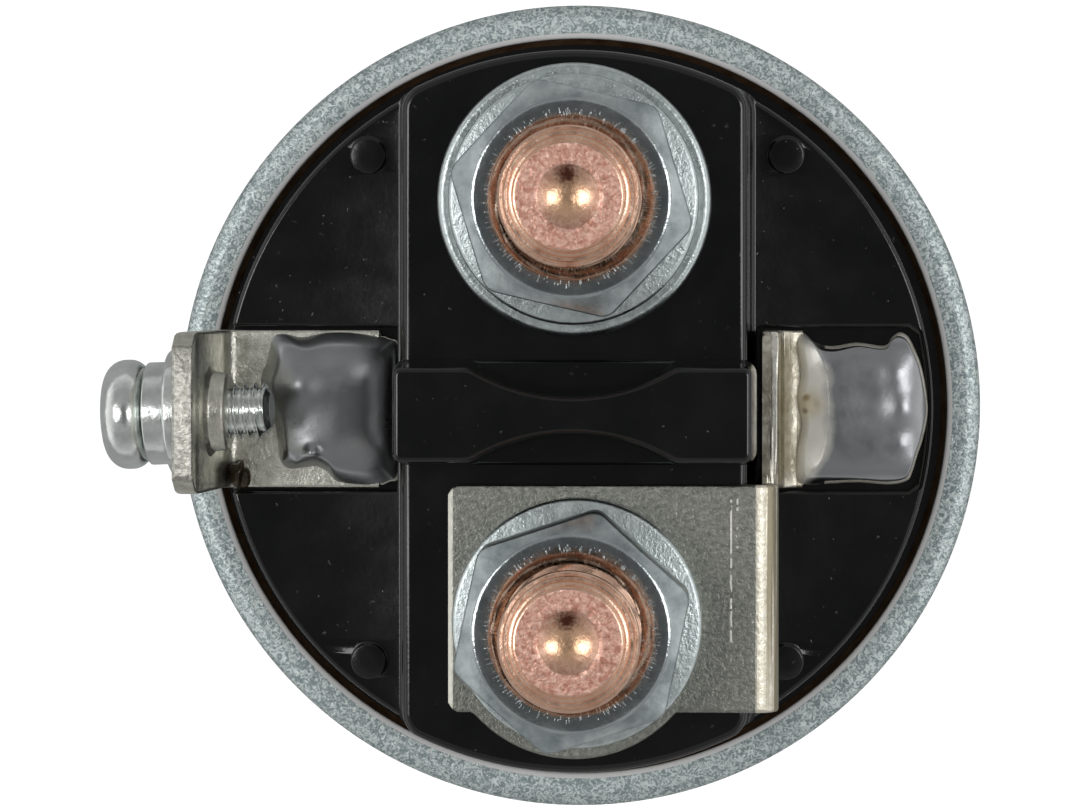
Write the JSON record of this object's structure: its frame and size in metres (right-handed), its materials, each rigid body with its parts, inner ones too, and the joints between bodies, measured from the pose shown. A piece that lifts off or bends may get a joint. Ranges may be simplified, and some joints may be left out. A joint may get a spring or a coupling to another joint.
{
  "type": "starter solenoid relay",
  "caption": "Starter solenoid: round steel case, moulded black terminal cap with copper studs and nuts, side screw terminal, spring-loaded plunger with a lever eye.",
  "frame": {"origin": "on the case axis at the front face that bolts to the starter, at the centre of the tapped holes", "axes": "+Z along the axis towards the terminals, +Y towards the battery stud, +X towards the solder pocket of the motor strap; the plunger reaches out along -Z and is drawn in along +Z"},
  "size_m": [0.0632, 0.059, 0.1372],
  "materials": {
    "case_zinc": "zinc plated drawn steel, fine grain, satin",
    "black_moulding": "black thermoset moulding, glossy",
    "black_rubber": "matt rubber",
    "core_steel": "turned steel",
    "brass_tube": "drawn brass",
    "bobbin_nylon": "natural nylon",
    "enamelled_copper": "enamelled copper wire",
    "insulating_paper": "insulating paper tape",
    "stud_copper": "cold-formed copper, satin",
    "bright_zinc": "bright zinc plating with a blue passivate",
    "tinned_sheet": "tinned sheet, satin, warm grey",
    "solder": "solder, smooth and bright with dull patches",
    "brown_phenolic": "brown phenolic",
    "spring_steel": "spring steel wire, satin",
    "plunger_steel": "turned steel, satin",
    "pressed_steel": "zinc plated pressed steel"
  },
  "bodies": {
    "housing": {"case": "case_zinc", "terminal_cap": "black_moulding", "cap_gasket": "black_rubber", "fixed_core": "core_steel", "plunger_sleeve": "brass_tube", "bobbin": "bobbin_nylon", "pull_in_winding": "enamelled_copper", "hold_in_winding": "enamelled_copper", "winding_wrap": "insulating_paper", "switch_lead": "enamelled_copper", "pull_in_lead": "enamelled_copper", "lead_sleeves": "bobbin_nylon", "battery_stud": "stud_copper", "battery_stud_seal": "black_rubber", "battery_flat_washer": "bright_zinc", "battery_spring_washer": "bright_zinc", "battery_nut": "bright_zinc", "motor_stud": "stud_copper", "motor_stud_seal": "black_rubber", "motor_strap": "tinned_sheet", "motor_spring_washer": "bright_zinc", "motor_nut": "bright_zinc", "switch_terminal": "tinned_sheet", "switch_screw": "bright_zinc", "switch_lock_washer": "bright_zinc", "switch_flat_washer": "bright_zinc", "switch_solder": "solder", "motor_solder": "solder", "contact_return_spring": "spring_steel", "plunger_spring": "spring_steel"},
    "plunger_group": {"plunger": "plunger_steel", "lever_eye": "plunger_steel", "spring_seat": "pressed_steel", "seat_clip": "spring_steel"},
    "contact_group": {"push_rod": "core_steel", "contact_disc": "stud_copper", "lower_insulator": "brown_phenolic", "upper_insulator": "brown_phenolic", "rod_clip": "spring_steel", "contact_pressure_spring": "spring_steel"}
  },
  "joints": [
    {"name": "plunger_slide", "type": "slide", "parent": "housing", "child": "plunger_group", "axis": [0, 0, 1], "range_m": [0, 0.012], "stiffness_N_per_m": 1200, "springref_m": -0.008, "deforming": ["plunger_spring"]},
    {"name": "contact_slide", "type": "slide", "parent": "housing", "child": "contact_group", "axis": [0, 0, 1], "range_m": [0, 0.003], "stiffness_N_per_m": 600, "springref_m": -0.003, "deforming": ["contact_return_spring"]}
  ],
  "couplings": [
    {"joint": "contact_slide", "follows": "plunger_slide", "ratio": 0.25}
  ]
}
